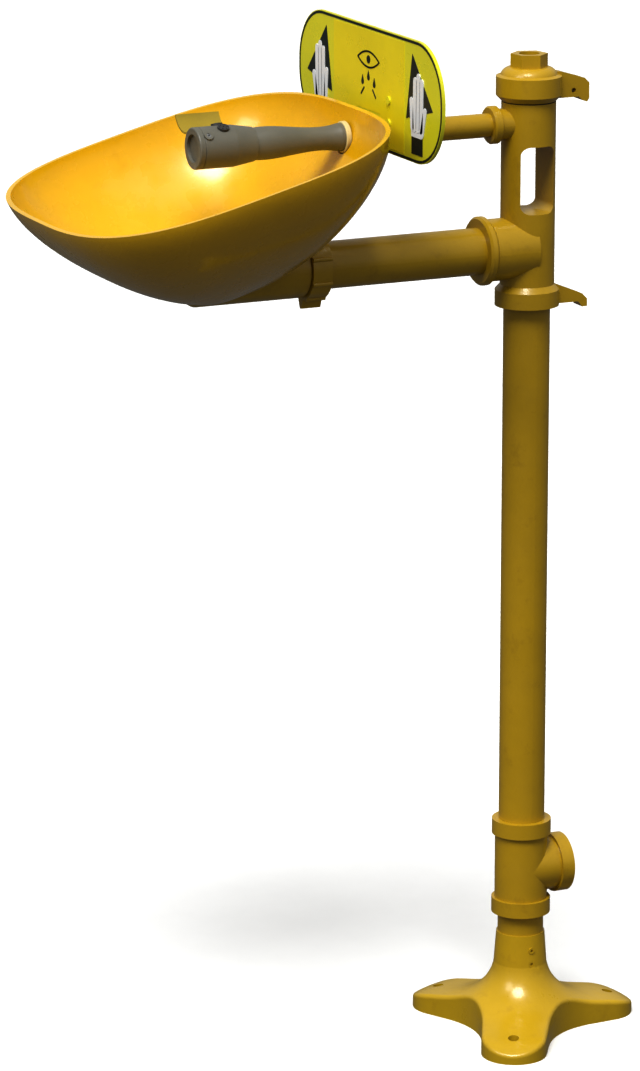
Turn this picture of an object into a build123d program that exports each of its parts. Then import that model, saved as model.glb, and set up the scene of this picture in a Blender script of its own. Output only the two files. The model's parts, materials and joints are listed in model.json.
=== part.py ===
"""A pedestal eyewash station: floor base, column, slotted head tower, drain arm, bowl,
spray head with a flip-up dust cover, and a stay-open ball valve worked by a wide push flag.

Frame: the origin is on the floor at the column's axis, +Z is up, and the bowl reaches
towards -Y, where the user stands. The arms lie in the plane X = 0. All sizes are in mm.
"""

import os
from math import atan, cos, degrees, pi, radians, sin

from build123d import *

os.makedirs("parts", exist_ok=True)

# Pipes: 1-1/4 in column and waste, 1/2 in supply
PIPE_R = 21.1
PIPE_BORE_R = 17.5
SUPPLY_R = 10.65
SUPPLY_BORE_R = 7.9
SOCKET_GAP = 0.05

# Heights of the two arms and of the waste tee
SUPPLY_Z = 851.0
DRAIN_Z = 737.6
TEE_Z = 153.4

# Floor base
BASE_R = 114.3
LOBE_R = 30.0
LOBE_CENTRE = BASE_R - LOBE_R
LOBE_WAIST_R = 34.0
LOBE_VALLEY_R = 78.0
BOLT_CIRCLE_R = 92.0
BOLT_HOLE_R = 5.0
NECK_TOP_Z = 92.0
NECK_TOP_R = 22.4
SOCKET_FLOOR_Z = 60.0
SET_SCREW_R = 3.0
SET_SCREW_HEIGHTS = (65.0, 78.0)

# Waste tee
TEE_BOTTOM_Z = 111.0
TEE_TOP_Z = 201.0
TEE_BODY_R = 24.3
TEE_BAND_R = 27.2
TEE_BAND = 14.0
TEE_BRANCH_Y = 42.5
TEE_THREAD_R = 20.0
TEE_THREAD = 20.0
PIPE_GRIP = 17.0

# Tower casting on top of the column
TOWER_BOTTOM_Z = 685.0
TOWER_TOP_Z = 870.0
TOWER_R = 24.5
LOWER_COLLAR_R = 29.0
LOWER_COLLAR_TOP_Z = 704.5
WINDOW_BOTTOM_Z = 771.0
WINDOW_TOP_Z = 832.0
WINDOW_HALF = 16.5
DRAIN_BOSS_Y = -50.0
DRAIN_BOSS_R = 28.0
DRAIN_RING_R = 31.0
SUPPLY_BOSS_Y = -40.0
SUPPLY_BOSS_R = 14.0
SUPPLY_RING_R = 17.0
RING = 9.0
LUG_HALF = 8.0

# Inlet head
GASKET = 1.0
HEAD_BOTTOM_Z = TOWER_TOP_Z + GASKET
HEAD_R = 29.5
HEAD_TOP_Z = 901.0
HEAD_BORE_R = 13.0
SPIGOT_R = 18.0
SPIGOT = 9.0
INLET_TOP_Z = 913.0
INLET_FLATS = 29.0
INLET_THREAD_R = 9.3
INLET_SHANK = 16.0
LUG_END_Y = 56.5
LUG_HOLE_R = 2.25
LUG_HOLE_Y = 41.0
LUG_HOLE_Z = 878.0

# Bowl: a superellipse rim that leans forward, drawn down to a flat drain patch
RIM_Y = -322.8
RIM_Z = 838.5
RIM_HALF_LENGTH = 149.5
RIM_HALF_WIDTH = 165.6
RIM_LEAN = degrees(atan(0.267))
RIM_POWER = 0.64
DEEP_POWER = 0.62
BOWL_DEPTH = 121.7
BOWL_SHIFT = 32.0
BOWL_PROFILE = 1.50
BOWL_WALL = 4.0
PATCH_AT = 0.97
DRAIN_HOLE_R = 12.5

# Ball valve, its stem along X, and the push flag
VALVE_Y = -140.0
VALVE_HALF = 25.0
VALVE_R = 16.5
VALVE_FLATS = 28.0
VALVE_CAVITY_R = 12.4
VALVE_PORT_R = 6.5
BALL_R = 11.0
SEAT_GAP = 0.3
STEM_R = 4.0
STEM_BOSS_X = 23.0
LEVER_X = 29.0
LEVER = 3.0
FLAG_WIDTH = 297.0
FLAG_HEIGHT = 106.5
FLAG_CORNER_R = 50.0
FLAG_CENTRE_Z = 894.7
FLAG_BACK_Y = -154.5
FLAG = 3.0
FLAG_NOTCH_HALF = 21.0
FLAG_NOTCH_TOP_Z = 870.5
FLAG_SCREW_X = 42.0
FLAG_SCREW_HEIGHTS = (868.0, 888.0)
FLAG_SCREW_R = 2.0

# Spray arm and spray body, both round the supply axis
WALL_INNER_Y = -179.5
WALL_OUTER_Y = -173.0
WALL_BOSS_R = 21.0
GASKET_SEAT_R = 15.0
GASKET_SEAT = 8.0
WALL_GASKET = 5.0
ARM_END_Y = -284.0
BARREL_R = 18.5
BARREL_REAR_Y = -270.0
BARREL_FRONT_Y = -321.0
CAP = 5.0
NOZZLE_Y = -300.0
NOZZLE_R = 5.2
NOZZLE_TILT = 22.0
COVER_INNER_R = 21.8
COVER_OUTER_R = 23.6
COVER_HINGE_R = 23.0
COVER_HINGE_TILT = 60.0
COVER_OPEN = 152.0
COVER_PIN_R = 1.5

# Drain saddle, slip nut and waste pipe
SADDLE_R = 26.6
SADDLE_FRONT_Y = -334.0
SADDLE_NECK_Y = -225.0
SADDLE_END_Y = -211.0
SADDLE_NECK_R = 24.6
TROUGH_R = 23.0
PIPE_END_Y = -232.0
NUT_R = 29.0
NUT_FRONT_Y = -223.5
NUT_REAR_Y = -205.0
WASHER = 4.0

supply_axis = Axis((0, 0, SUPPLY_Z), (0, 1, 0))
drain_axis = Axis((0, 0, DRAIN_Z), (0, 1, 0))
tee_axis = Axis((0, 0, TEE_Z), (0, 1, 0))
stem_axis = Axis((0, VALVE_Y, SUPPLY_Z), (1, 0, 0))


def across(y, z=0.0):
    """The plane that crosses the arms at y, seen by the user, with its origin at height z."""
    return Plane(origin=(0, y, z), x_dir=(1, 0, 0), z_dir=(0, -1, 0))


def outline(plane, *points):
    """A closed straight-sided face on a plane."""
    with BuildSketch(plane) as sketch:
        with BuildLine():
            Polyline(*points, close=True)
        make_face()
    return sketch.sketch


def lengthwise(height):
    """The upright plane along the arms, with its origin at a height over the floor's centre."""
    return Plane(origin=(0, 0, height), x_dir=(0, 1, 0), z_dir=(1, 0, 0))


def beside_column(*points):
    """A face to turn round the column, from (radius, height) points."""
    return outline(Plane.XZ, *points)


def beside_arm(height, *points):
    """A face to turn round an arm's axis at a height, from (y, radius) points."""
    return outline(lengthwise(height), *points)


def save(shape, name):
    """Labels a finished piece and writes its file."""
    shape.label = name
    export_step(shape, f"parts/{name}.step")


# ---------------------------------------------------------------- floor base
with BuildSketch() as lobe:
    Circle(LOBE_WAIST_R)
    with Locations((LOBE_CENTRE, 0)):
        Circle(LOBE_R)
    make_hull()

with BuildSketch() as base_plan:
    with PolarLocations(0, 3, start_angle=90):
        add(lobe.sketch)
    valleys = base_plan.vertices().sort_by_distance((0, 0, 0))[:3]
    fillet(valleys, LOBE_VALLEY_R)

with BuildPart() as floor_base:
    with BuildSketch(Plane.XZ):
        with BuildLine():
            Line((0, 0), (BASE_R, 0))
            Line((BASE_R, 0), (BASE_R, 8))
            Spline((BASE_R, 8), (98, 16.5), (66, 23), (36, 40), (24.6, 62))
            Line((24.6, 62), (NECK_TOP_R, NECK_TOP_Z))
            Line((NECK_TOP_R, NECK_TOP_Z), (0, NECK_TOP_Z))
            Line((0, NECK_TOP_Z), (0, 0))
        make_face()
    revolve(axis=Axis.Z)
    extrude(base_plan.sketch, amount=NECK_TOP_Z, mode=Mode.INTERSECT)
    fillet(floor_base.edges().filter_by(lambda edge: 4 < edge.center().Z < 40), 4)
    revolve(beside_column((0, 0), (34, 0), (30, 18), (16, 46), (0, 46)),
            axis=Axis.Z, mode=Mode.SUBTRACT)
    with BuildSketch(Plane.XY.offset(SOCKET_FLOOR_Z)):
        Circle(PIPE_R + SOCKET_GAP)
    extrude(amount=NECK_TOP_Z - SOCKET_FLOOR_Z, mode=Mode.SUBTRACT)
    with BuildSketch():
        with PolarLocations(BOLT_CIRCLE_R, 3, start_angle=90):
            Circle(BOLT_HOLE_R)
    extrude(amount=NECK_TOP_Z, mode=Mode.SUBTRACT)
    with BuildSketch(Plane.YZ.offset(PIPE_R - 2)):
        with Locations(*[(0, z) for z in SET_SCREW_HEIGHTS]):
            Circle(SET_SCREW_R + SOCKET_GAP)
    extrude(amount=12, mode=Mode.SUBTRACT)
save(floor_base.part, "floor_base")

with BuildPart() as neck_set_screws:
    with BuildSketch(Plane.YZ.offset(PIPE_R + SOCKET_GAP)):
        with Locations(*[(0, z) for z in SET_SCREW_HEIGHTS]):
            Circle(SET_SCREW_R)
    extrude(amount=3.0)
    with BuildSketch(Plane.YZ.offset(PIPE_R + 1.5)):
        with Locations(*[(0, z) for z in SET_SCREW_HEIGHTS]):
            RegularPolygon(1.5, 6)
    extrude(amount=3.0, mode=Mode.SUBTRACT)
save(neck_set_screws.part, "neck_set_screws")

with BuildPart() as base_nipple:
    with BuildSketch(Plane.XY.offset(SOCKET_FLOOR_Z)):
        Circle(PIPE_R)
        Circle(PIPE_BORE_R, mode=Mode.SUBTRACT)
    extrude(amount=TEE_BOTTOM_Z + PIPE_GRIP - SOCKET_FLOOR_Z)
save(base_nipple.part, "base_nipple")

# ---------------------------------------------------------------- waste tee and column
with BuildPart() as drain_tee:
    with BuildSketch(Plane.XY.offset(TEE_BOTTOM_Z)):
        Circle(TEE_BODY_R)
    extrude(amount=TEE_TOP_Z - TEE_BOTTOM_Z)
    with BuildSketch(Plane.XY.offset(TEE_BOTTOM_Z)):
        Circle(TEE_BAND_R)
    extrude(amount=TEE_BAND)
    with BuildSketch(Plane.XY.offset(TEE_TOP_Z)):
        Circle(TEE_BAND_R)
    extrude(amount=-TEE_BAND)
    with BuildSketch(across(TEE_BRANCH_Y, TEE_Z)):
        Circle(TEE_BODY_R)
    extrude(amount=TEE_BRANCH_Y)
    with BuildSketch(across(TEE_BRANCH_Y, TEE_Z)):
        Circle(TEE_BAND_R)
    extrude(amount=12)
    with BuildSketch(Plane.XY.offset(TEE_BOTTOM_Z)):
        Circle(PIPE_BORE_R)
    extrude(amount=TEE_TOP_Z - TEE_BOTTOM_Z, mode=Mode.SUBTRACT)
    with BuildSketch(Plane.XY.offset(TEE_BOTTOM_Z)):
        Circle(PIPE_R + SOCKET_GAP)
    extrude(amount=PIPE_GRIP, mode=Mode.SUBTRACT)
    with BuildSketch(Plane.XY.offset(TEE_TOP_Z)):
        Circle(PIPE_R + SOCKET_GAP)
    extrude(amount=-PIPE_GRIP, mode=Mode.SUBTRACT)
    with BuildSketch(across(TEE_BRANCH_Y, TEE_Z)):
        Circle(PIPE_BORE_R)
    extrude(amount=TEE_BRANCH_Y, mode=Mode.SUBTRACT)
    with BuildSketch(across(TEE_BRANCH_Y, TEE_Z)):
        Circle(TEE_THREAD_R)
    extrude(amount=TEE_THREAD, mode=Mode.SUBTRACT)
save(drain_tee.part, "drain_tee")

COLUMN_BOTTOM_Z = TEE_TOP_Z - PIPE_GRIP
COLUMN_TOP_Z = TOWER_BOTTOM_Z + PIPE_GRIP
with BuildPart() as column_pipe:
    with BuildSketch(Plane.XY.offset(COLUMN_BOTTOM_Z)):
        Circle(PIPE_R)
        Circle(PIPE_BORE_R, mode=Mode.SUBTRACT)
    extrude(amount=COLUMN_TOP_Z - COLUMN_BOTTOM_Z)
save(column_pipe.part, "column_pipe")

# ---------------------------------------------------------------- tower and inlet head
DRAIN_SOCKET = 18.0
SUPPLY_SOCKET = 14.0
with BuildPart() as tower_casting:
    with BuildSketch(Plane.XY.offset(TOWER_BOTTOM_Z)):
        Circle(TOWER_R)
    extrude(amount=TOWER_TOP_Z - TOWER_BOTTOM_Z)
    revolve(beside_column((0, TOWER_BOTTOM_Z), (LOWER_COLLAR_R, TOWER_BOTTOM_Z),
                          (LOWER_COLLAR_R, LOWER_COLLAR_TOP_Z - 5), (TOWER_R, LOWER_COLLAR_TOP_Z),
                          (0, LOWER_COLLAR_TOP_Z)), axis=Axis.Z)
    with BuildSketch(across(0, DRAIN_Z)):
        Circle(DRAIN_BOSS_R)
    extrude(amount=-DRAIN_BOSS_Y)
    revolve(beside_arm(DRAIN_Z, (DRAIN_BOSS_Y, 0), (DRAIN_BOSS_Y, DRAIN_RING_R - 2),
                       (DRAIN_BOSS_Y + 2, DRAIN_RING_R), (DRAIN_BOSS_Y + RING - 3, DRAIN_RING_R),
                       (DRAIN_BOSS_Y + RING, DRAIN_BOSS_R), (DRAIN_BOSS_Y + RING, 0)),
            axis=drain_axis)
    with BuildSketch(across(0, SUPPLY_Z)):
        Circle(SUPPLY_BOSS_R)
    extrude(amount=-SUPPLY_BOSS_Y)
    revolve(beside_arm(SUPPLY_Z, (SUPPLY_BOSS_Y, 0), (SUPPLY_BOSS_Y, SUPPLY_RING_R - 1.5),
                       (SUPPLY_BOSS_Y + 1.5, SUPPLY_RING_R), (SUPPLY_BOSS_Y + RING - 2, SUPPLY_RING_R),
                       (SUPPLY_BOSS_Y + RING, SUPPLY_BOSS_R), (SUPPLY_BOSS_Y + RING, 0)),
            axis=supply_axis)
    lower_lug = outline(Plane.YZ.offset(-LUG_HALF), (20, 685), (48, 685), (52, 680), (57, 680),
                        (57, 687), (52, 692), (24, 703.5), (20, 703.5))
    extrude(lower_lug, amount=2 * LUG_HALF)
    with BuildSketch(Plane.YZ.offset(-TOWER_R - 5)):
        with Locations((0, (WINDOW_BOTTOM_Z + WINDOW_TOP_Z) / 2)):
            RectangleRounded(2 * WINDOW_HALF, WINDOW_TOP_Z - WINDOW_BOTTOM_Z, 8)
    extrude(amount=2 * TOWER_R + 10, mode=Mode.SUBTRACT)
    with BuildSketch(Plane.XY.offset(TOWER_BOTTOM_Z)):
        Circle(PIPE_BORE_R)
    extrude(amount=DRAIN_Z + PIPE_BORE_R + 2 - TOWER_BOTTOM_Z, mode=Mode.SUBTRACT)
    with BuildSketch(Plane.XY.offset(TOWER_BOTTOM_Z)):
        Circle(PIPE_R + SOCKET_GAP)
    extrude(amount=PIPE_GRIP, mode=Mode.SUBTRACT)
    with BuildSketch(across(0, DRAIN_Z)):
        Circle(PIPE_BORE_R)
    extrude(amount=-DRAIN_BOSS_Y, mode=Mode.SUBTRACT)
    with BuildSketch(across(DRAIN_BOSS_Y, DRAIN_Z)):
        Circle(PIPE_R + SOCKET_GAP)
    extrude(amount=-DRAIN_SOCKET, mode=Mode.SUBTRACT)
    with BuildSketch(Plane.XY.offset(TOWER_TOP_Z)):
        Circle(SPIGOT_R + SOCKET_GAP)
    extrude(amount=-SPIGOT, mode=Mode.SUBTRACT)
    with BuildSketch(Plane.XY.offset(TOWER_TOP_Z)):
        Circle(HEAD_BORE_R)
    extrude(amount=SUPPLY_Z - SUPPLY_R - 3 - TOWER_TOP_Z, mode=Mode.SUBTRACT)
    with BuildSketch(across(0, SUPPLY_Z)):
        Circle(SUPPLY_BORE_R)
    extrude(amount=-SUPPLY_BOSS_Y, mode=Mode.SUBTRACT)
    with BuildSketch(across(SUPPLY_BOSS_Y, SUPPLY_Z)):
        Circle(SUPPLY_R + SOCKET_GAP)
    extrude(amount=-SUPPLY_SOCKET, mode=Mode.SUBTRACT)
save(tower_casting.part, "tower_casting")

with BuildPart() as head_gasket:
    with BuildSketch(Plane.XY.offset(TOWER_TOP_Z)):
        Circle(TOWER_R - 0.8)
        Circle(SPIGOT_R + SOCKET_GAP, mode=Mode.SUBTRACT)
    extrude(amount=GASKET)
save(head_gasket.part, "head_gasket")

with BuildPart() as inlet_head:
    with BuildSketch(Plane.XZ):
        with BuildLine():
            Line((HEAD_BORE_R, TOWER_TOP_Z - SPIGOT + 0.5), (SPIGOT_R, TOWER_TOP_Z - SPIGOT + 0.5))
            Line((SPIGOT_R, TOWER_TOP_Z - SPIGOT + 0.5), (SPIGOT_R, HEAD_BOTTOM_Z))
            Line((SPIGOT_R, HEAD_BOTTOM_Z), (TOWER_R, HEAD_BOTTOM_Z))
            Line((TOWER_R, HEAD_BOTTOM_Z), (HEAD_R, HEAD_BOTTOM_Z + 5))
            Line((HEAD_R, HEAD_BOTTOM_Z + 5), (HEAD_R, HEAD_TOP_Z - 8))
            Line((HEAD_R, HEAD_TOP_Z - 8), (HEAD_R - 4, HEAD_TOP_Z - 6.5))
            ThreePointArc((HEAD_R - 4, HEAD_TOP_Z - 6.5), (22.4, HEAD_TOP_Z - 2), (18, HEAD_TOP_Z))
            Line((18, HEAD_TOP_Z), (HEAD_BORE_R, HEAD_TOP_Z))
            Line((HEAD_BORE_R, HEAD_TOP_Z), (HEAD_BORE_R, TOWER_TOP_Z - SPIGOT + 0.5))
        make_face()
    revolve(axis=Axis.Z)
    upper_lug = outline(Plane.YZ.offset(-LUG_HALF), (20, 872), (46, 872), (50, 868.5), (54.5, 867),
                        (LUG_END_Y, 870), (LUG_END_Y, 884), (52, 888.5), (27, 896),
                        (20, 896))
    extrude(upper_lug, amount=2 * LUG_HALF)
    with BuildSketch(Plane.YZ.offset(-LUG_HALF)):
        with Locations((LUG_HOLE_Y, LUG_HOLE_Z)):
            Circle(LUG_HOLE_R)
    extrude(amount=2 * LUG_HALF, mode=Mode.SUBTRACT)
save(inlet_head.part, "inlet_head")

with BuildPart() as inlet_bushing:
    with BuildSketch(Plane.XY.offset(HEAD_TOP_Z)):
        RegularPolygon(INLET_FLATS / 2, 6, major_radius=False, rotation=10)
    extrude(amount=INLET_TOP_Z - HEAD_TOP_Z)
    with BuildSketch(Plane.XY.offset(HEAD_TOP_Z)):
        Circle(HEAD_BORE_R - SOCKET_GAP)
    extrude(amount=-INLET_SHANK)
    with BuildSketch(Plane.XY.offset(INLET_TOP_Z)):
        Circle(INLET_THREAD_R)
    extrude(amount=HEAD_TOP_Z - INLET_SHANK - INLET_TOP_Z, mode=Mode.SUBTRACT)
save(inlet_bushing.part, "inlet_bushing")

SCREEN = 1.5
with BuildPart() as inlet_screen:
    with BuildSketch(Plane.XY.offset(HEAD_TOP_Z - INLET_SHANK)):
        Circle(HEAD_BORE_R - SOCKET_GAP)
        for ring_r, count in ((3.4, 6), (7.0, 12), (10.4, 18)):
            with PolarLocations(ring_r, count):
                Circle(0.9, mode=Mode.SUBTRACT)
    extrude(amount=-SCREEN)
save(inlet_screen.part, "inlet_screen")

# ---------------------------------------------------------------- supply pipe and valve
VALVE_REAR_Y = VALVE_Y + VALVE_HALF
VALVE_FRONT_Y = VALVE_Y - VALVE_HALF
VALVE_SOCKET = 10.0
RETAINER = 11.5
SEAT = 5.0
PIPE_REAR_Y = SUPPLY_BOSS_Y + SUPPLY_SOCKET
PIPE_FRONT_Y = VALVE_REAR_Y - VALVE_SOCKET
with BuildPart() as supply_pipe:
    with BuildSketch(across(PIPE_REAR_Y, SUPPLY_Z)):
        Circle(SUPPLY_R)
        Circle(SUPPLY_BORE_R, mode=Mode.SUBTRACT)
    extrude(amount=PIPE_REAR_Y - PIPE_FRONT_Y)
save(supply_pipe.part, "supply_pipe")

CAVITY_REAR_Y = PIPE_FRONT_Y - 1.5
with BuildPart() as valve_body:
    with BuildSketch(across(VALVE_REAR_Y, SUPPLY_Z)):
        Circle(VALVE_FLATS / 2)
    extrude(amount=2 * VALVE_HALF)
    with BuildSketch(across(VALVE_Y + 15, SUPPLY_Z)):
        Circle(VALVE_R)
    extrude(amount=30)
    for y in (VALVE_REAR_Y, VALVE_FRONT_Y + 8):
        with BuildSketch(across(y, SUPPLY_Z)):
            RegularPolygon(VALVE_FLATS / 2, 6, major_radius=False)
        extrude(amount=8)
    with BuildSketch(Plane.YZ):
        with Locations((VALVE_Y, SUPPLY_Z)):
            Circle(9)
    extrude(amount=STEM_BOSS_X)
    with BuildSketch(across(VALVE_REAR_Y, SUPPLY_Z)):
        Circle(VALVE_PORT_R)
    extrude(amount=2 * VALVE_HALF, mode=Mode.SUBTRACT)
    with BuildSketch(across(VALVE_REAR_Y, SUPPLY_Z)):
        Circle(SUPPLY_R + SOCKET_GAP)
    extrude(amount=VALVE_SOCKET, mode=Mode.SUBTRACT)
    with BuildSketch(across(VALVE_FRONT_Y, SUPPLY_Z)):
        Circle(VALVE_CAVITY_R)
    extrude(amount=VALVE_FRONT_Y - CAVITY_REAR_Y, mode=Mode.SUBTRACT)
    with BuildSketch(Plane.YZ):
        with Locations((VALVE_Y, SUPPLY_Z)):
            Circle(STEM_R + SOCKET_GAP)
    extrude(amount=STEM_BOSS_X, mode=Mode.SUBTRACT)
    with BuildSketch(Plane.YZ.offset(STEM_BOSS_X)):
        with Locations((VALVE_Y, SUPPLY_Z)):
            Circle(6.5)
    extrude(amount=-6, mode=Mode.SUBTRACT)
save(valve_body.part, "valve_body")

with BuildPart() as valve_retainer:
    with BuildSketch(across(VALVE_FRONT_Y + RETAINER, SUPPLY_Z)):
        Circle(VALVE_CAVITY_R - SOCKET_GAP)
        Circle(VALVE_PORT_R, mode=Mode.SUBTRACT)
    extrude(amount=RETAINER)
    with BuildSketch(across(VALVE_FRONT_Y, SUPPLY_Z)):
        Circle(SUPPLY_R + SOCKET_GAP)
    extrude(amount=-9, mode=Mode.SUBTRACT)
save(valve_retainer.part, "valve_retainer")

for name, seat_y in (("rear_seat", CAVITY_REAR_Y), ("front_seat", VALVE_FRONT_Y + RETAINER + SEAT)):
    with BuildPart() as seat:
        with BuildSketch(across(seat_y, SUPPLY_Z)):
            Circle(VALVE_CAVITY_R - SOCKET_GAP)
            Circle(VALVE_PORT_R + 0.5, mode=Mode.SUBTRACT)
        extrude(amount=SEAT)
        with Locations((0, VALVE_Y, SUPPLY_Z)):
            Sphere(BALL_R + SEAT_GAP, mode=Mode.SUBTRACT)
    save(seat.part, name)

TANG_START_X = 8.0
TANG_END_X = 12.0
with BuildPart() as valve_ball:
    with Locations((0, VALVE_Y, SUPPLY_Z)):
        Sphere(BALL_R)
        Cylinder(VALVE_PORT_R, 3 * BALL_R, mode=Mode.SUBTRACT)
    with BuildSketch(Plane.YZ.offset(TANG_START_X - 0.1)):
        with Locations((VALVE_Y, SUPPLY_Z)):
            Rectangle(3.2, 7.4)
    extrude(amount=5, mode=Mode.SUBTRACT)
save(valve_ball.part, "valve_ball")

with BuildPart() as valve_stem:
    with BuildSketch(Plane.YZ.offset(TANG_START_X)):
        with Locations((VALVE_Y, SUPPLY_Z)):
            Rectangle(3.0, 7.2)
    extrude(amount=TANG_END_X - TANG_START_X)
    with BuildSketch(Plane.YZ.offset(TANG_END_X)):
        with Locations((VALVE_Y, SUPPLY_Z)):
            Circle(STEM_R)
    extrude(amount=LEVER_X + LEVER + 5.5 - TANG_END_X)
save(valve_stem.part, "valve_stem")

with BuildPart() as stem_packing:
    with BuildSketch(Plane.YZ.offset(STEM_BOSS_X - 6)):
        with Locations((VALVE_Y, SUPPLY_Z)):
            Circle(6.45)
            Circle(STEM_R + SOCKET_GAP, mode=Mode.SUBTRACT)
    extrude(amount=3)
save(stem_packing.part, "stem_packing")

with BuildPart() as packing_nut:
    with BuildSketch(Plane.YZ.offset(STEM_BOSS_X)):
        with Locations((VALVE_Y, SUPPLY_Z)):
            RegularPolygon(7.5, 6, major_radius=False)
    extrude(amount=4)
    with BuildSketch(Plane.YZ.offset(STEM_BOSS_X - 3)):
        with Locations((VALVE_Y, SUPPLY_Z)):
            Circle(6.45)
    extrude(amount=3)
    with BuildSketch(Plane.YZ.offset(STEM_BOSS_X - 3)):
        with Locations((VALVE_Y, SUPPLY_Z)):
            Circle(STEM_R + SOCKET_GAP)
    extrude(amount=7, mode=Mode.SUBTRACT)
save(packing_nut.part, "packing_nut")

# ---------------------------------------------------------------- push flag
FLANGE_END_X = 52.0
FLANGE_BOTTOM_Z = 858.0
FLANGE_TOP_Z = 896.0
with BuildPart() as flag_lever:
    with BuildSketch(Plane.YZ.offset(LEVER_X)):
        with Locations((VALVE_Y, SUPPLY_Z)):
            Circle(9)
        with BuildLine():
            Polyline((VALVE_Y + 8.5, SUPPLY_Z + 3), (VALVE_Y - 6, FLANGE_TOP_Z),
                     (FLAG_BACK_Y, FLANGE_TOP_Z), (FLAG_BACK_Y, FLANGE_BOTTOM_Z),
                     (VALVE_Y - 6, SUPPLY_Z - 6.5), close=True)
        make_face()
    extrude(amount=LEVER)
    with BuildSketch(across(FLAG_BACK_Y + LEVER, 0)):
        with Locations(((LEVER_X + FLANGE_END_X) / 2, (FLANGE_BOTTOM_Z + FLANGE_TOP_Z) / 2)):
            Rectangle(FLANGE_END_X - LEVER_X, FLANGE_TOP_Z - FLANGE_BOTTOM_Z)
    extrude(amount=LEVER)
    with BuildSketch(Plane.YZ.offset(LEVER_X)):
        with Locations((VALVE_Y, SUPPLY_Z)):
            Circle(STEM_R + SOCKET_GAP)
    extrude(amount=LEVER, mode=Mode.SUBTRACT)
    with BuildSketch(across(FLAG_BACK_Y + LEVER, 0)):
        with Locations(*[(FLAG_SCREW_X, z) for z in FLAG_SCREW_HEIGHTS]):
            Circle(FLAG_SCREW_R + SOCKET_GAP)
    extrude(amount=LEVER, mode=Mode.SUBTRACT)
save(flag_lever.part, "flag_lever")

with BuildPart() as lever_nut:
    with BuildSketch(Plane.YZ.offset(LEVER_X + LEVER)):
        with Locations((VALVE_Y, SUPPLY_Z)):
            RegularPolygon(6.5, 6, major_radius=False)
            Circle(STEM_R + SOCKET_GAP, mode=Mode.SUBTRACT)
    extrude(amount=4)
save(lever_nut.part, "lever_nut")

with BuildPart() as push_flag:
    with BuildSketch(across(FLAG_BACK_Y, 0)) as flag_face:
        with Locations((0, FLAG_CENTRE_Z)):
            RectangleRounded(FLAG_WIDTH, FLAG_HEIGHT, FLAG_CORNER_R)
        with Locations((0, FLAG_NOTCH_TOP_Z - 30)):
            RectangleRounded(2 * FLAG_NOTCH_HALF, 60, 8, mode=Mode.SUBTRACT)
        with Locations(*[(FLAG_SCREW_X, z) for z in FLAG_SCREW_HEIGHTS]):
            Circle(FLAG_SCREW_R + SOCKET_GAP, mode=Mode.SUBTRACT)
    extrude(amount=FLAG)
save(push_flag.part, "push_flag")

with BuildPart() as flag_screws:
    with BuildSketch(across(FLAG_BACK_Y - FLAG, 0)):
        with Locations(*[(FLAG_SCREW_X, z) for z in FLAG_SCREW_HEIGHTS]):
            Circle(3.6)
    extrude(amount=1.6)
    with BuildSketch(across(FLAG_BACK_Y - FLAG, 0)):
        with Locations(*[(FLAG_SCREW_X, z) for z in FLAG_SCREW_HEIGHTS]):
            Circle(FLAG_SCREW_R)
    extrude(amount=-FLAG - LEVER)
save(flag_screws.part, "flag_screws")

# ---------------------------------------------------------------- spray arm and body
with BuildPart() as wall_nut:
    with BuildSketch(across(VALVE_FRONT_Y, SUPPLY_Z)):
        RegularPolygon(14, 6, major_radius=False)
        Circle(SUPPLY_R + SOCKET_GAP, mode=Mode.SUBTRACT)
    extrude(amount=VALVE_FRONT_Y - WALL_OUTER_Y)
save(wall_nut.part, "wall_nut")

with BuildPart() as wall_gasket:
    with BuildSketch(across(WALL_INNER_Y, SUPPLY_Z)):
        Circle(14.0)
        Circle(SUPPLY_R + SOCKET_GAP, mode=Mode.SUBTRACT)
    extrude(amount=WALL_GASKET)
    fillet(wall_gasket.edges().filter_by(GeomType.CIRCLE).group_by(SortBy.RADIUS)[-1], 1.2)
save(wall_gasket.part, "wall_gasket")

ARM_SHOULDER_Y = WALL_INNER_Y - WALL_GASKET
ARM_START_Y = VALVE_FRONT_Y + 8.5
ARM_BORE_R = 6.0
ARM_SPIGOT_R = 10.0
with BuildPart() as spray_arm:
    with BuildSketch(lengthwise(SUPPLY_Z)):
        with BuildLine():
            Line((ARM_START_Y, ARM_BORE_R), (ARM_START_Y, SUPPLY_R))
            Line((ARM_START_Y, SUPPLY_R), (ARM_SHOULDER_Y, SUPPLY_R))
            Line((ARM_SHOULDER_Y, SUPPLY_R), (ARM_SHOULDER_Y, 12.4))
            Line((ARM_SHOULDER_Y, 12.4), (ARM_SHOULDER_Y - 3, 12.4))
            Spline((ARM_SHOULDER_Y - 3, 12.4), (ARM_SHOULDER_Y - 10, 11.1), (-232, 12.4),
                   (BARREL_REAR_Y, 14.0))
            Line((BARREL_REAR_Y, 14.0), (BARREL_REAR_Y, ARM_SPIGOT_R))
            Line((BARREL_REAR_Y, ARM_SPIGOT_R), (ARM_END_Y, ARM_SPIGOT_R))
            Line((ARM_END_Y, ARM_SPIGOT_R), (ARM_END_Y, ARM_BORE_R))
            Line((ARM_END_Y, ARM_BORE_R), (ARM_START_Y, ARM_BORE_R))
        make_face()
    revolve(axis=supply_axis)
save(spray_arm.part, "spray_arm")

with BuildPart() as flow_control:
    with BuildSketch(across(ARM_START_Y - 2, SUPPLY_Z)):
        Circle(ARM_BORE_R - SOCKET_GAP)
        Circle(2.2, mode=Mode.SUBTRACT)
    extrude(amount=4)
save(flow_control.part, "flow_control")


def radial(tilt, radius, y):
    """A plane square to the spray body's radius that leans tilt degrees from up towards +X."""
    lean = radians(tilt)
    centre = (radius * sin(lean), y, SUPPLY_Z + radius * cos(lean))
    return Plane(origin=centre, x_dir=(0, -1, 0), z_dir=(sin(lean), 0, cos(lean)))


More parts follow.
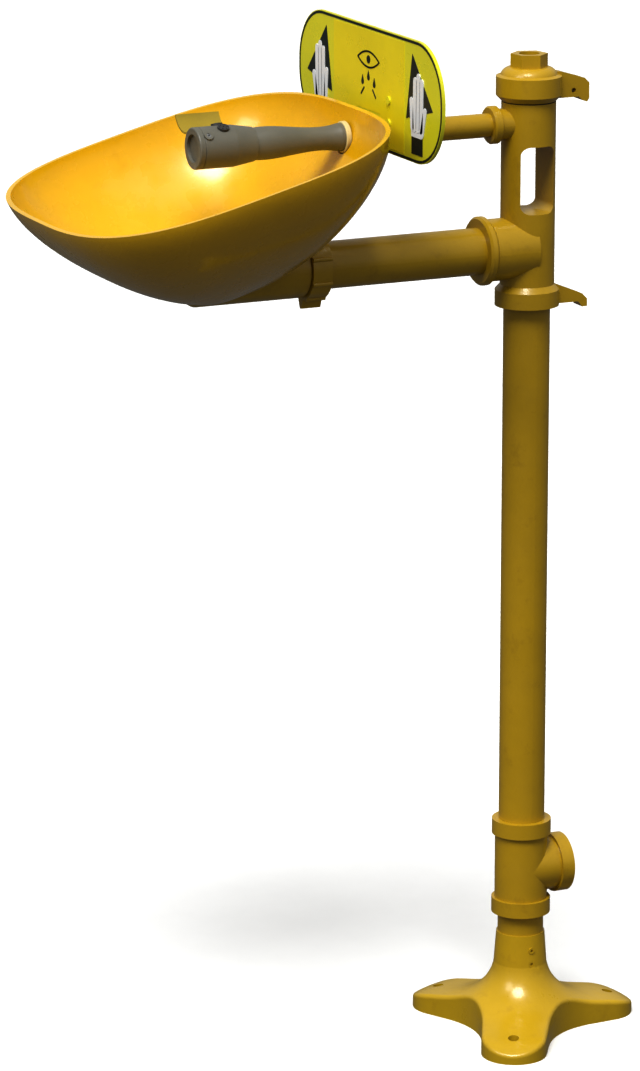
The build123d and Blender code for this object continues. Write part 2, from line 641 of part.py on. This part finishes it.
hinge_lean = radians(-COVER_HINGE_TILT)
HINGE_X = COVER_HINGE_R * sin(hinge_lean)
HINGE_Z = SUPPLY_Z + COVER_HINGE_R * cos(hinge_lean)
EAR = 3.6
KNUCKLE_FRONT_Y = -312.0
KNUCKLE_REAR_Y = -288.0
EAR_GAP = 0.4
CAVITY_R = 15.0
CAP_SCREW_TILT = 47.0
CAP_SCREW_Y = -316.5
with BuildPart() as spray_body:
    revolve(beside_arm(SUPPLY_Z, (BARREL_FRONT_Y, 0), (BARREL_FRONT_Y, BARREL_R - 1),
                       (BARREL_FRONT_Y + 1, BARREL_R), (-290, BARREL_R), (BARREL_REAR_Y, 15.2),
                       (BARREL_REAR_Y, 0)), axis=supply_axis)
    for ear_y in (KNUCKLE_REAR_Y + EAR_GAP + EAR, KNUCKLE_FRONT_Y - EAR_GAP):
        with BuildSketch(across(ear_y, 0)):
            with Locations((HINGE_X, HINGE_Z)):
                Circle(3)
            with BuildLine():
                Polyline((HINGE_X - 1.5, HINGE_Z - 2.6), (HINGE_X + 1.5, HINGE_Z + 2.6),
                         (-11.0, SUPPLY_Z + 13.5), (-15.8, SUPPLY_Z + 5.2), close=True)
            make_face()
        extrude(amount=EAR)
    with BuildSketch(radial(CAP_SCREW_TILT, 19.7, CAP_SCREW_Y)):
        Circle(4.2)
    extrude(amount=-5)
    with BuildSketch(across(BARREL_FRONT_Y, SUPPLY_Z)):
        Circle(CAVITY_R)
    extrude(amount=-33, mode=Mode.SUBTRACT)
    with BuildSketch(across(BARREL_REAR_Y, SUPPLY_Z)):
        Circle(ARM_SPIGOT_R + SOCKET_GAP)
    extrude(amount=20, mode=Mode.SUBTRACT)
    for tilt in (-NOZZLE_TILT, NOZZLE_TILT):
        with BuildSketch(radial(tilt, 12, NOZZLE_Y)):
            Circle(NOZZLE_R + SOCKET_GAP)
        extrude(amount=12, mode=Mode.SUBTRACT)
    with BuildSketch(radial(CAP_SCREW_TILT, 12, CAP_SCREW_Y)):
        Circle(2.05)
    extrude(amount=12, mode=Mode.SUBTRACT)
    with BuildSketch(across(KNUCKLE_REAR_Y + 6, 0)):
        with Locations((HINGE_X, HINGE_Z)):
            Circle(COVER_PIN_R + 0.02)
    extrude(amount=36, mode=Mode.SUBTRACT)
save(spray_body.part, "spray_body")

with BuildPart() as end_cap:
    with BuildSketch(across(BARREL_FRONT_Y, SUPPLY_Z)):
        Circle(BARREL_R)
    extrude(amount=CAP)
    fillet(end_cap.edges().sort_by(Axis.Y)[0], 1.5)
    with BuildSketch(across(BARREL_FRONT_Y, SUPPLY_Z)):
        Circle(CAVITY_R - SOCKET_GAP)
    extrude(amount=-9)
    with BuildSketch(across(BARREL_FRONT_Y - CAP, SUPPLY_Z)):
        Circle(12.5)
    extrude(amount=-3, mode=Mode.SUBTRACT)
    with BuildSketch(radial(CAP_SCREW_TILT, 10, CAP_SCREW_Y)):
        Circle(2.05)
    extrude(amount=9, mode=Mode.SUBTRACT)
save(end_cap.part, "end_cap")

with BuildPart() as cap_screw:
    with BuildSketch(radial(CAP_SCREW_TILT, 10.5, CAP_SCREW_Y)):
        Circle(2.0)
    extrude(amount=8.9)
    with BuildSketch(radial(CAP_SCREW_TILT, 17.6, CAP_SCREW_Y)):
        RegularPolygon(1.3, 6)
    extrude(amount=3, mode=Mode.SUBTRACT)
save(cap_screw.part, "cap_screw")

with BuildPart() as spray_nozzles:
    for tilt in (-NOZZLE_TILT, NOZZLE_TILT):
        with BuildSketch(radial(tilt, 15.4, NOZZLE_Y)):
            Circle(NOZZLE_R)
        extrude(amount=4.8)
        with BuildSketch(radial(tilt, 15.4, NOZZLE_Y)):
            Circle(0.6)
            with PolarLocations(3.4, 6):
                Circle(0.6)
        extrude(amount=4.8, mode=Mode.SUBTRACT)
save(spray_nozzles.part, "spray_nozzles")


def cover_plane(y):
    """The hinge's cross plane at y, turned to the open cover's angle, its origin on the hinge."""
    opened = radians(COVER_OPEN)
    return Plane(origin=(HINGE_X, y, HINGE_Z), x_dir=(cos(opened), 0, sin(opened)), z_dir=(0, -1, 0))


def cover_point(radius, tilt):
    """A point of the closed cover round the spray body, measured from the hinge."""
    lean = radians(tilt)
    return (radius * sin(lean) - HINGE_X, radius * cos(lean) - (HINGE_Z - SUPPLY_Z))


COVER_START = -49.0
COVER_STOP = 36.0
COVER_MIDDLE = (COVER_START + COVER_STOP) / 2
with BuildPart() as dust_cover:
    with BuildSketch(cover_plane(-279)):
        with BuildLine():
            ThreePointArc(cover_point(COVER_OUTER_R, COVER_START), cover_point(COVER_OUTER_R, COVER_MIDDLE),
                          cover_point(COVER_OUTER_R, COVER_STOP))
            Line(cover_point(COVER_OUTER_R, COVER_STOP), cover_point(COVER_INNER_R, COVER_STOP))
            ThreePointArc(cover_point(COVER_INNER_R, COVER_STOP), cover_point(COVER_INNER_R, COVER_MIDDLE),
                          cover_point(COVER_INNER_R, COVER_START))
            Line(cover_point(COVER_INNER_R, COVER_START), cover_point(COVER_OUTER_R, COVER_START))
        make_face()
    extrude(amount=41)
    with BuildSketch(cover_plane(KNUCKLE_REAR_Y)):
        Circle(3.1)
        with BuildLine():
            Polyline(cover_point(COVER_INNER_R + 0.2, COVER_START + 3), cover_point(COVER_OUTER_R, COVER_START + 3),
                     cover_point(COVER_OUTER_R + 1.5, -COVER_HINGE_TILT + 2),
                     cover_point(COVER_INNER_R - 0.5, -COVER_HINGE_TILT + 2), close=True)
        make_face()
    extrude(amount=KNUCKLE_REAR_Y - KNUCKLE_FRONT_Y)
    with BuildSketch(cover_plane(KNUCKLE_REAR_Y)):
        Circle(COVER_PIN_R + 0.05)
    extrude(amount=KNUCKLE_REAR_Y - KNUCKLE_FRONT_Y, mode=Mode.SUBTRACT)
save(dust_cover.part, "dust_cover")

with BuildPart() as cover_pin:
    with BuildSketch(across(KNUCKLE_REAR_Y + EAR_GAP + EAR, 0)):
        with Locations((HINGE_X, HINGE_Z)):
            Circle(COVER_PIN_R)
    extrude(amount=KNUCKLE_REAR_Y - KNUCKLE_FRONT_Y + 2 * (EAR + EAR_GAP))
save(cover_pin.part, "cover_pin")

# ---------------------------------------------------------------- bowl
SECTIONS = 9
RIM_POINTS = 32


def section_plane(depth, wall):
    """The leaning plane of the bowl's section at a share of its depth."""
    drop = (BOWL_DEPTH - wall / PATCH_AT) * depth
    centre = (0, RIM_Y + BOWL_SHIFT * depth, RIM_Z - drop)
    lean = radians(RIM_LEAN)
    return Plane(origin=centre, x_dir=(1, 0, 0), z_dir=(0, -sin(lean), cos(lean)))


def superellipse(half_width, half_length, power):
    """Points round a rounded-square section."""
    points = []
    for step in range(RIM_POINTS):
        turn = 2 * pi * step / RIM_POINTS
        x, y = cos(turn), sin(turn)
        points.append((half_width * abs(x) ** power * (1 if x > 0 else -1),
                       half_length * abs(y) ** power * (1 if y > 0 else -1)))
    return points


def bowl_solid(wall):
    """The bowl's outside (wall 0) or the hollow that leaves that wall."""
    lean = radians(RIM_LEAN)
    sections = []
    for step in range(SECTIONS):
        depth = PATCH_AT * sin(pi / 2 * step / (SECTIONS - 1))
        share = (1 - depth**BOWL_PROFILE) ** (1 / BOWL_PROFILE)
        half_width = RIM_HALF_WIDTH * share - wall
        half_length = RIM_HALF_LENGTH / cos(lean) * share - wall
        power = RIM_POWER + (DEEP_POWER - RIM_POWER) * depth
        with BuildSketch(section_plane(depth, wall)) as section:
            with BuildLine():
                Spline(*superellipse(half_width, half_length, power), periodic=True)
            make_face()
        sections.append(section.sketch)
    return loft(sections)


bowl_outside = bowl_solid(0)
bowl_hollow = bowl_solid(BOWL_WALL)
patch = section_plane(PATCH_AT, 0)
BOWL_SCREW_X = 8.0
BOWL_SCREW_Y = -323.0
with BuildPart() as bowl:
    add(bowl_outside)
    with BuildSketch(across(WALL_OUTER_Y, SUPPLY_Z)):
        Circle(WALL_BOSS_R)
    extrude(amount=WALL_OUTER_Y - WALL_INNER_Y + GASKET_SEAT)
    add(bowl_hollow, mode=Mode.SUBTRACT)
    with BuildSketch(across(WALL_INNER_Y, SUPPLY_Z)):
        Circle(GASKET_SEAT_R)
    extrude(amount=GASKET_SEAT, mode=Mode.SUBTRACT)
    with BuildSketch(across(WALL_OUTER_Y, SUPPLY_Z)):
        Circle(SUPPLY_R + SOCKET_GAP)
    extrude(amount=WALL_OUTER_Y - WALL_INNER_Y, mode=Mode.SUBTRACT)
    with BuildSketch(patch.offset(-3)):
        Circle(DRAIN_HOLE_R)
    extrude(amount=20, mode=Mode.SUBTRACT)
    with BuildSketch(Plane.XY.offset(700)):
        with Locations((-BOWL_SCREW_X, BOWL_SCREW_Y), (BOWL_SCREW_X, BOWL_SCREW_Y)):
            Circle(2.55)
    extrude(amount=60, mode=Mode.SUBTRACT)
save(bowl.part, "bowl")

with BuildPart() as strainer:
    with BuildSketch(patch.offset(BOWL_WALL)):
        Circle(DRAIN_HOLE_R + 2.3)
    extrude(amount=1.5)
    with BuildSketch(patch.offset(0.5)):
        Circle(DRAIN_HOLE_R - 0.1)
    extrude(amount=BOWL_WALL)
    with BuildSketch(patch.offset(0.5)):
        Circle(DRAIN_HOLE_R - 1.6)
    extrude(amount=BOWL_WALL - 0.5, mode=Mode.SUBTRACT)
    with BuildSketch(patch):
        for ring_r, count in ((3.2, 6), (6.4, 10), (9.3, 14)):
            with PolarLocations(ring_r, count):
                Circle(1.1)
    extrude(amount=8, mode=Mode.SUBTRACT)
save(strainer.part, "strainer")

# ---------------------------------------------------------------- waste arm
with BuildPart() as drain_saddle:
    with BuildSketch(across(SADDLE_NECK_Y, DRAIN_Z)):
        Circle(SADDLE_R)
    extrude(amount=SADDLE_NECK_Y - SADDLE_FRONT_Y)
    fillet(drain_saddle.edges().sort_by(Axis.Y)[0], 8)
    with BuildSketch(across(SADDLE_END_Y, DRAIN_Z)):
        Circle(SADDLE_NECK_R)
    extrude(amount=SADDLE_END_Y - SADDLE_NECK_Y)
    with BuildSketch(across(SADDLE_END_Y, DRAIN_Z)):
        Circle(PIPE_R + 0.25)
    extrude(amount=SADDLE_END_Y - PIPE_END_Y, mode=Mode.SUBTRACT)
    with BuildSketch(across(PIPE_END_Y, DRAIN_Z)):
        Circle(TROUGH_R)
    extrude(amount=PIPE_END_Y + 312, mode=Mode.SUBTRACT)
    add(bowl_outside, mode=Mode.SUBTRACT)
    with BuildSketch(Plane.XY.offset(705)):
        with Locations((-BOWL_SCREW_X, BOWL_SCREW_Y), (BOWL_SCREW_X, BOWL_SCREW_Y)):
            Circle(2.55)
    extrude(amount=40, mode=Mode.SUBTRACT)
save(drain_saddle.part, "drain_saddle")

with BuildPart() as drain_pipe:
    with BuildSketch(across(DRAIN_BOSS_Y + DRAIN_SOCKET, DRAIN_Z)):
        Circle(PIPE_R)
        Circle(PIPE_BORE_R, mode=Mode.SUBTRACT)
    extrude(amount=DRAIN_BOSS_Y + DRAIN_SOCKET - PIPE_END_Y)
save(drain_pipe.part, "drain_pipe")

with BuildPart() as slip_washer:
    with BuildSketch(across(SADDLE_END_Y + WASHER, DRAIN_Z)):
        Circle(SADDLE_NECK_R)
        Circle(PIPE_R + SOCKET_GAP, mode=Mode.SUBTRACT)
    extrude(amount=WASHER)
save(slip_washer.part, "slip_washer")

with BuildPart() as slip_nut:
    with BuildSketch(across(NUT_REAR_Y, DRAIN_Z)):
        Circle(NUT_R)
        with PolarLocations(NUT_R, 8, start_angle=112.5):
            Circle(2.0)
        with BuildLine():
            Polyline((-5, -NUT_R + 1), (-1.5, -37.0), (1.5, -37.0), (5, -NUT_R + 1), close=True)
        make_face()
    extrude(amount=NUT_REAR_Y - NUT_FRONT_Y)
    with BuildSketch(across(NUT_REAR_Y, DRAIN_Z)):
        Circle(PIPE_R + 0.4)
    extrude(amount=NUT_REAR_Y - NUT_FRONT_Y, mode=Mode.SUBTRACT)
    with BuildSketch(across(SADDLE_END_Y + WASHER, DRAIN_Z)):
        Circle(SADDLE_NECK_R + SOCKET_GAP)
    extrude(amount=SADDLE_END_Y + WASHER - NUT_FRONT_Y, mode=Mode.SUBTRACT)
save(slip_nut.part, "slip_nut")
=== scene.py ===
"""Looks for the pedestal eyewash station: materials, the flag's printed signs, floor, lights, camera."""

import json
from math import cos, pi, radians, sin

import bmesh
import bpy
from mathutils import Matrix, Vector


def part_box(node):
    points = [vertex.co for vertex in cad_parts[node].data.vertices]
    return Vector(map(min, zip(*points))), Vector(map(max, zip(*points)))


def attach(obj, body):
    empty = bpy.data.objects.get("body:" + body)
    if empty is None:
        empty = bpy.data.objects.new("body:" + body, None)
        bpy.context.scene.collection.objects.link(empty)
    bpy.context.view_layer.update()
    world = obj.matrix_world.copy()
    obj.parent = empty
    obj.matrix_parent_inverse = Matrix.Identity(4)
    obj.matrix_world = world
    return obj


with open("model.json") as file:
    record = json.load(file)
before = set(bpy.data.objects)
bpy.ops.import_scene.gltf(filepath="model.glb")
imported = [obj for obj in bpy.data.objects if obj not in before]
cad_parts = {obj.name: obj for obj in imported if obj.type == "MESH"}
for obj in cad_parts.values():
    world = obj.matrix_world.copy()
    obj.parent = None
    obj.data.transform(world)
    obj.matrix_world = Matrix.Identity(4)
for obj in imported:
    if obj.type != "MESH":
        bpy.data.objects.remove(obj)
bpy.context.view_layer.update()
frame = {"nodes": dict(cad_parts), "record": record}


# ---------------------------------------------------------------- materials
def surface(name, color, roughness, tint=0.06, metallic=0.0, coat=0.0, bump=0.1, grain=900.0,
            wave=0.0, wave_scale=18.0, dirt=0.0, dirt_color=(0.05, 0.035, 0.02)):
    """A procedural finish: patchy colour, uneven gloss, fine grain and, if asked, dirt in patches."""
    made = bpy.data.materials.new(name)
    made.use_nodes = True
    tree = made.node_tree
    nodes, links = tree.nodes, tree.links
    shader = nodes["Principled BSDF"]
    shader.inputs["Metallic"].default_value = metallic
    shader.inputs["Coat Weight"].default_value = coat
    shader.inputs["Coat Roughness"].default_value = 0.12
    place = nodes.new("ShaderNodeTexCoord")

    patches = nodes.new("ShaderNodeTexNoise")
    patches.inputs["Scale"].default_value = 11.0
    patches.inputs["Detail"].default_value = 7.0
    patches.inputs["Roughness"].default_value = 0.62
    links.new(place.outputs["Object"], patches.inputs["Vector"])
    shades = nodes.new("ShaderNodeValToRGB")
    shades.color_ramp.elements[0].position = 0.30
    shades.color_ramp.elements[1].position = 0.72
    shades.color_ramp.elements[0].color = (*[c * (1 - 2 * tint) for c in color], 1)
    shades.color_ramp.elements[1].color = (*[min(c * (1 + tint), 1) for c in color], 1)
    links.new(patches.outputs["Fac"], shades.inputs["Fac"])
    painted = shades.outputs["Color"]
    if dirt:
        spots = nodes.new("ShaderNodeTexNoise")
        spots.inputs["Scale"].default_value = 46.0
        spots.inputs["Detail"].default_value = 9.0
        spots.inputs["Roughness"].default_value = 0.7
        links.new(place.outputs["Object"], spots.inputs["Vector"])
        share = nodes.new("ShaderNodeMapRange")
        share.inputs["From Min"].default_value = 0.56
        share.inputs["From Max"].default_value = 0.78
        share.inputs["To Max"].default_value = dirt
        links.new(spots.outputs["Fac"], share.inputs["Value"])
        mixed = nodes.new("ShaderNodeMix")
        mixed.data_type = "RGBA"
        mixed.inputs["B"].default_value = (*dirt_color, 1)
        links.new(share.outputs["Result"], mixed.inputs["Factor"])
        links.new(painted, mixed.inputs["A"])
        painted = mixed.outputs["Result"]
    links.new(painted, shader.inputs["Base Color"])

    smears = nodes.new("ShaderNodeTexNoise")
    smears.inputs["Scale"].default_value = 37.0
    smears.inputs["Detail"].default_value = 5.0
    links.new(place.outputs["Object"], smears.inputs["Vector"])
    gloss = nodes.new("ShaderNodeMapRange")
    gloss.inputs["From Min"].default_value = 0.3
    gloss.inputs["From Max"].default_value = 0.7
    gloss.inputs["To Min"].default_value = max(roughness - 0.08, 0.03)
    gloss.inputs["To Max"].default_value = roughness + 0.10
    links.new(smears.outputs["Fac"], gloss.inputs["Value"])
    links.new(gloss.outputs["Result"], shader.inputs["Roughness"])

    fine = nodes.new("ShaderNodeTexNoise")
    fine.inputs["Scale"].default_value = grain
    fine.inputs["Detail"].default_value = 3.0
    links.new(place.outputs["Object"], fine.inputs["Vector"])
    relief = nodes.new("ShaderNodeBump")
    relief.inputs["Strength"].default_value = bump
    relief.inputs["Distance"].default_value = 0.0004
    links.new(fine.outputs["Fac"], relief.inputs["Height"])
    if wave:
        broad = nodes.new("ShaderNodeTexNoise")
        broad.inputs["Scale"].default_value = wave_scale
        broad.inputs["Detail"].default_value = 2.0
        links.new(place.outputs["Object"], broad.inputs["Vector"])
        swell = nodes.new("ShaderNodeBump")
        swell.inputs["Strength"].default_value = wave
        swell.inputs["Distance"].default_value = 0.004
        links.new(broad.outputs["Fac"], swell.inputs["Height"])
        links.new(relief.outputs["Normal"], swell.inputs["Normal"])
        links.new(swell.outputs["Normal"], shader.inputs["Normal"])
    else:
        links.new(relief.outputs["Normal"], shader.inputs["Normal"])
    return made


finishes = {
    "base_paint": surface("base_paint_m", (0.50, 0.335, 0.012), 0.34, coat=0.35, bump=0.22, grain=420.0,
                          wave=0.10, dirt=0.30, dirt_color=(0.22, 0.11, 0.01)),
    "column_paint": surface("column_paint_m", (0.47, 0.305, 0.013), 0.36, coat=0.30, bump=0.18, grain=600.0,
                            wave=0.05, dirt=0.32, dirt_color=(0.17, 0.085, 0.008)),
    "bowl_plastic": surface("bowl_plastic_m", (0.66, 0.40, 0.004), 0.26, tint=0.04, coat=0.5, bump=0.06,
                            grain=1400.0, wave=0.05, wave_scale=9.0, dirt=0.12, dirt_color=(0.30, 0.15, 0.01)),
    "flag_plastic": surface("flag_plastic_m", (0.70, 0.68, 0.030), 0.30, tint=0.03, coat=0.3, bump=0.08,
                            dirt=0.08, dirt_color=(0.30, 0.25, 0.02)),
    "grey_plastic": surface("grey_plastic_m", (0.155, 0.150, 0.122), 0.44, tint=0.12, bump=0.2, dirt=0.35,
                            dirt_color=(0.17, 0.12, 0.06)),
    "nozzle_plastic": surface("nozzle_plastic_m", (0.045, 0.045, 0.043), 0.5, bump=0.2),
    "cover_plastic": surface("cover_plastic_m", (0.36, 0.27, 0.03), 0.42, tint=0.10, bump=0.15, dirt=0.25,
                             dirt_color=(0.14, 0.10, 0.02)),
    "cream_rubber": surface("cream_rubber_m", (0.60, 0.50, 0.26), 0.62, tint=0.08, bump=0.3, dirt=0.2),
    "seal_rubber": surface("seal_rubber_m", (0.02, 0.02, 0.02), 0.7, bump=0.3),
    "seat_plastic": surface("seat_plastic_m", (0.78, 0.78, 0.75), 0.45, tint=0.03),
    "brass": surface("brass_m", (0.66, 0.44, 0.16), 0.30, metallic=1.0, tint=0.08, bump=0.15, dirt=0.3),
    "ball_chrome": surface("ball_chrome_m", (0.78, 0.79, 0.80), 0.10, metallic=1.0, tint=0.03, bump=0.03),
    "steel": surface("steel_m", (0.50, 0.50, 0.49), 0.34, metallic=1.0, tint=0.08, bump=0.2, dirt=0.2),
}
print_dark = surface("print_dark_m", (0.012, 0.020, 0.016), 0.38, tint=0.2)
print_warm = surface("print_warm_m", (0.78, 0.68, 0.014), 0.32, tint=0.04, coat=0.3, dirt=0.06,
                     dirt_color=(0.35, 0.25, 0.02))
print_white = surface("print_white_m", (0.74, 0.76, 0.78), 0.40, tint=0.04)

for part in frame["record"]["subparts"]:
    node = frame["nodes"][part["node"]]
    node.data.materials.clear()
    node.data.materials.append(finishes[part["material_slot"]])

# ---------------------------------------------------------------- the flag's printed signs
low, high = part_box("push_flag")
FACE_Y = low.y
INK = 0.00025


def printed(name, shapes, material, layer=1):
    """Flat printed shapes on the flag's face, each a list of (x, z) points, raised layer times the ink."""
    mesh = bpy.data.meshes.new(name)
    form = bmesh.new()
    for points in shapes:
        back = [form.verts.new((x, FACE_Y, z)) for x, z in points]
        front = [form.verts.new((x, FACE_Y - layer * INK, z)) for x, z in points]
        form.faces.new(back)
        form.faces.new(front[::-1])
        for i in range(len(points)):
            j = (i + 1) % len(points)
            form.faces.new((back[i], front[i], front[j], back[j]))
    bmesh.ops.recalc_face_normals(form, faces=form.faces)
    form.to_mesh(mesh)
    form.free()
    piece = bpy.data.objects.new(name, mesh)
    bpy.context.scene.collection.objects.link(piece)
    mesh.materials.append(material)
    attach(piece, "flag")
    return piece


def stroke(points, width):
    """Line segments as thin round-ended bars."""
    bars = []
    for (x0, z0), (x1, z1) in zip(points, points[1:]):
        along = Vector((x1 - x0, z1 - z0)).normalized()
        turn = Vector((-along.y, along.x))
        bar = []
        for end, way in (((x0, z0), -1), ((x1, z1), 1)):
            for step in range(7):
                angle = pi * step / 6
                side = turn * cos(angle) * -way + along * sin(angle) * way
                bar.append((end[0] + side.x * width / 2, end[1] + side.y * width / 2))
        bars.append(bar)
    return bars


def mirrored(shapes):
    """The shapes and their copies on the other half of the flag."""
    return shapes + [[(-x, z) for x, z in points] for points in shapes]


def mm(points):
    """Millimetres to metres."""
    return [(x / 1000, z / 1000) for x, z in points]


def rounded(inset, turns=12, corner=0.050):
    """The flag's outline, moved in by inset, as a closed list of points."""
    r = corner - inset
    points = []
    for cx, cz, start in ((high.x - corner, high.z - corner, 0), (low.x + corner, high.z - corner, 90),
                          (low.x + corner, low.z + corner, 180), (high.x - corner, low.z + corner, 270)):
        for step in range(turns + 1):
            angle = radians(start + 90 * step / turns)
            points.append((cx + r * cos(angle), cz + r * sin(angle)))
    return points


outer, inner = rounded(0.0008), rounded(0.0030)
border = []
for i in range(len(outer)):
    j = (i + 1) % len(outer)
    crosses_notch = abs(outer[i][0]) < 0.099 and abs(outer[j][0]) < 0.099 and outer[i][1] < 0.86
    if not crosses_notch:
        border.append([outer[i], outer[j], inner[j], inner[i]])
for side in (-1, 1):
    z0, z1 = low.z + 0.0008, low.z + 0.0030
    border.append([(side * 0.0985, z0), (side * 0.0225, z0), (side * 0.0225, z1), (side * 0.0985, z1)])
printed("flag_border", border, print_dark)

printed("flag_arrows", mirrored([mm([(89, 936), (77, 878), (130, 891)])]), print_dark)
panel_edge, panel_top = 0.073, high.z - 0.0045
notch_top = 0.8735
warm_panel = [[(-panel_edge, notch_top), (-panel_edge, panel_top), (panel_edge, panel_top), (panel_edge, notch_top)]]
for side in (-1, 1):
    warm_panel.append([(side * 0.0235, low.z + 0.0045), (side * 0.0235, notch_top),
                       (side * panel_edge, notch_top), (side * panel_edge, low.z + 0.0045)])
printed("flag_panel", warm_panel, print_warm)
fingers = []
for x, bottom, top in ((94.5, 872, 913), (101.0, 872, 917), (107.5, 872, 913)):
    fingers += stroke(mm([(x, bottom), (x + 1.0, top)]), 0.0072)
fingers += stroke(mm([(90, 872), (88, 895)]), 0.0066)
fingers += stroke(mm([(109, 868), (115, 889)]), 0.0066)
palm = mm([(88, 864), (86.5, 880), (92, 892), (111, 892), (112, 874), (109, 864)])
printed("flag_palms", mirrored([palm]), print_white, layer=2)
printed("flag_fingers", mirrored(fingers), print_white, layer=3)
printed("flag_cuffs", mirrored([mm([(88, 849), (88, 864), (110, 864), (110, 849)])]), print_dark)

eye = []
for arc in (1, -1):
    eye += stroke(mm([(22 * t / 8, 918 + arc * 7 * (1 - (t / 8) ** 2)) for t in range(-8, 9)]), 0.0016)
pupil = [mm([(3.6 * cos(2 * pi * k / 20), 918 + 3.6 * sin(2 * pi * k / 20)) for k in range(20)])]
drops = []
for x, z in ((-12, 897), (0, 902), (12, 897)):
    drop = [(x + 2.6 * sin(a), z - 2.6 * cos(a)) for a in [radians(-125 + 250 * k / 14) for k in range(15)]]
    drops.append(mm(drop + [(x, z + 6.4)]))
jets = stroke(mm([(-15, 886), (-9, 892)]), 0.0018) + stroke(mm([(15, 886), (9, 892)]), 0.0018)
printed("flag_pictogram", eye + pupil + drops + jets, print_dark, layer=2)

# ---------------------------------------------------------------- floor, lights and camera
floor_finish = surface("floor_m", (0.86, 0.86, 0.85), 0.75, tint=0.01, bump=0.03)
bpy.ops.mesh.primitive_plane_add(size=60, location=(0, 0, 0))
floor = bpy.context.object
floor.name = "studio_floor"
floor.data.materials.append(floor_finish)
floor.visible_diffuse = False
floor.visible_glossy = False

world = bpy.data.worlds.new("studio")
world.use_nodes = True
world.node_tree.nodes["Background"].inputs["Color"].default_value = (1.0, 1.0, 1.0, 1)
sky = world.node_tree.nodes
direction = sky.new("ShaderNodeTexCoord")
parts = sky.new("ShaderNodeSeparateXYZ")
fade = sky.new("ShaderNodeMapRange")
fade.inputs["From Min"].default_value = -0.15
fade.inputs["From Max"].default_value = 0.30
fade.inputs["To Min"].default_value = 0.16
fade.inputs["To Max"].default_value = 0.60
world.node_tree.links.new(direction.outputs["Generated"], parts.inputs["Vector"])
world.node_tree.links.new(parts.outputs["Z"], fade.inputs["Value"])
world.node_tree.links.new(fade.outputs["Result"], sky["Background"].inputs["Strength"])
bpy.context.scene.world = world


def panel(name, place, target, size, power):
    """A soft square light at a place that faces a target."""
    data = bpy.data.lights.new(name, "AREA")
    data.shape = "SQUARE"
    data.size = size
    data.energy = power
    lamp = bpy.data.objects.new(name, data)
    lamp.location = place
    lamp.rotation_euler = (Vector(target) - Vector(place)).to_track_quat("-Z", "Y").to_euler()
    bpy.context.scene.collection.objects.link(lamp)
    return lamp


sun_data = bpy.data.lights.new("overhead_sun", "SUN")
sun_data.energy = 3.0
sun_data.angle = radians(25)
sun = bpy.data.objects.new("overhead_sun", sun_data)
sun.rotation_euler = Vector((-0.45, 0.30, -1.0)).to_track_quat("-Z", "Y").to_euler()
bpy.context.scene.collection.objects.link(sun)
panel("key", (1.0, -2.8, 3.0), (0, -0.2, 0.7), 1.4, 45)

camera_data = bpy.data.cameras.new("view")
camera_data.lens = 172.42
camera_data.sensor_width = 36
camera_data.clip_end = 200
camera = bpy.data.objects.new("view", camera_data)
camera.location = (4.0420, -2.0454, 1.6367)
camera.rotation_euler = (radians(90 - 14.456), 0, radians(65.514))
bpy.context.scene.collection.objects.link(camera)
bpy.context.scene.camera = camera
bpy.context.scene.view_settings.view_transform = "Standard"
bpy.context.scene.view_settings.gamma = 0.72
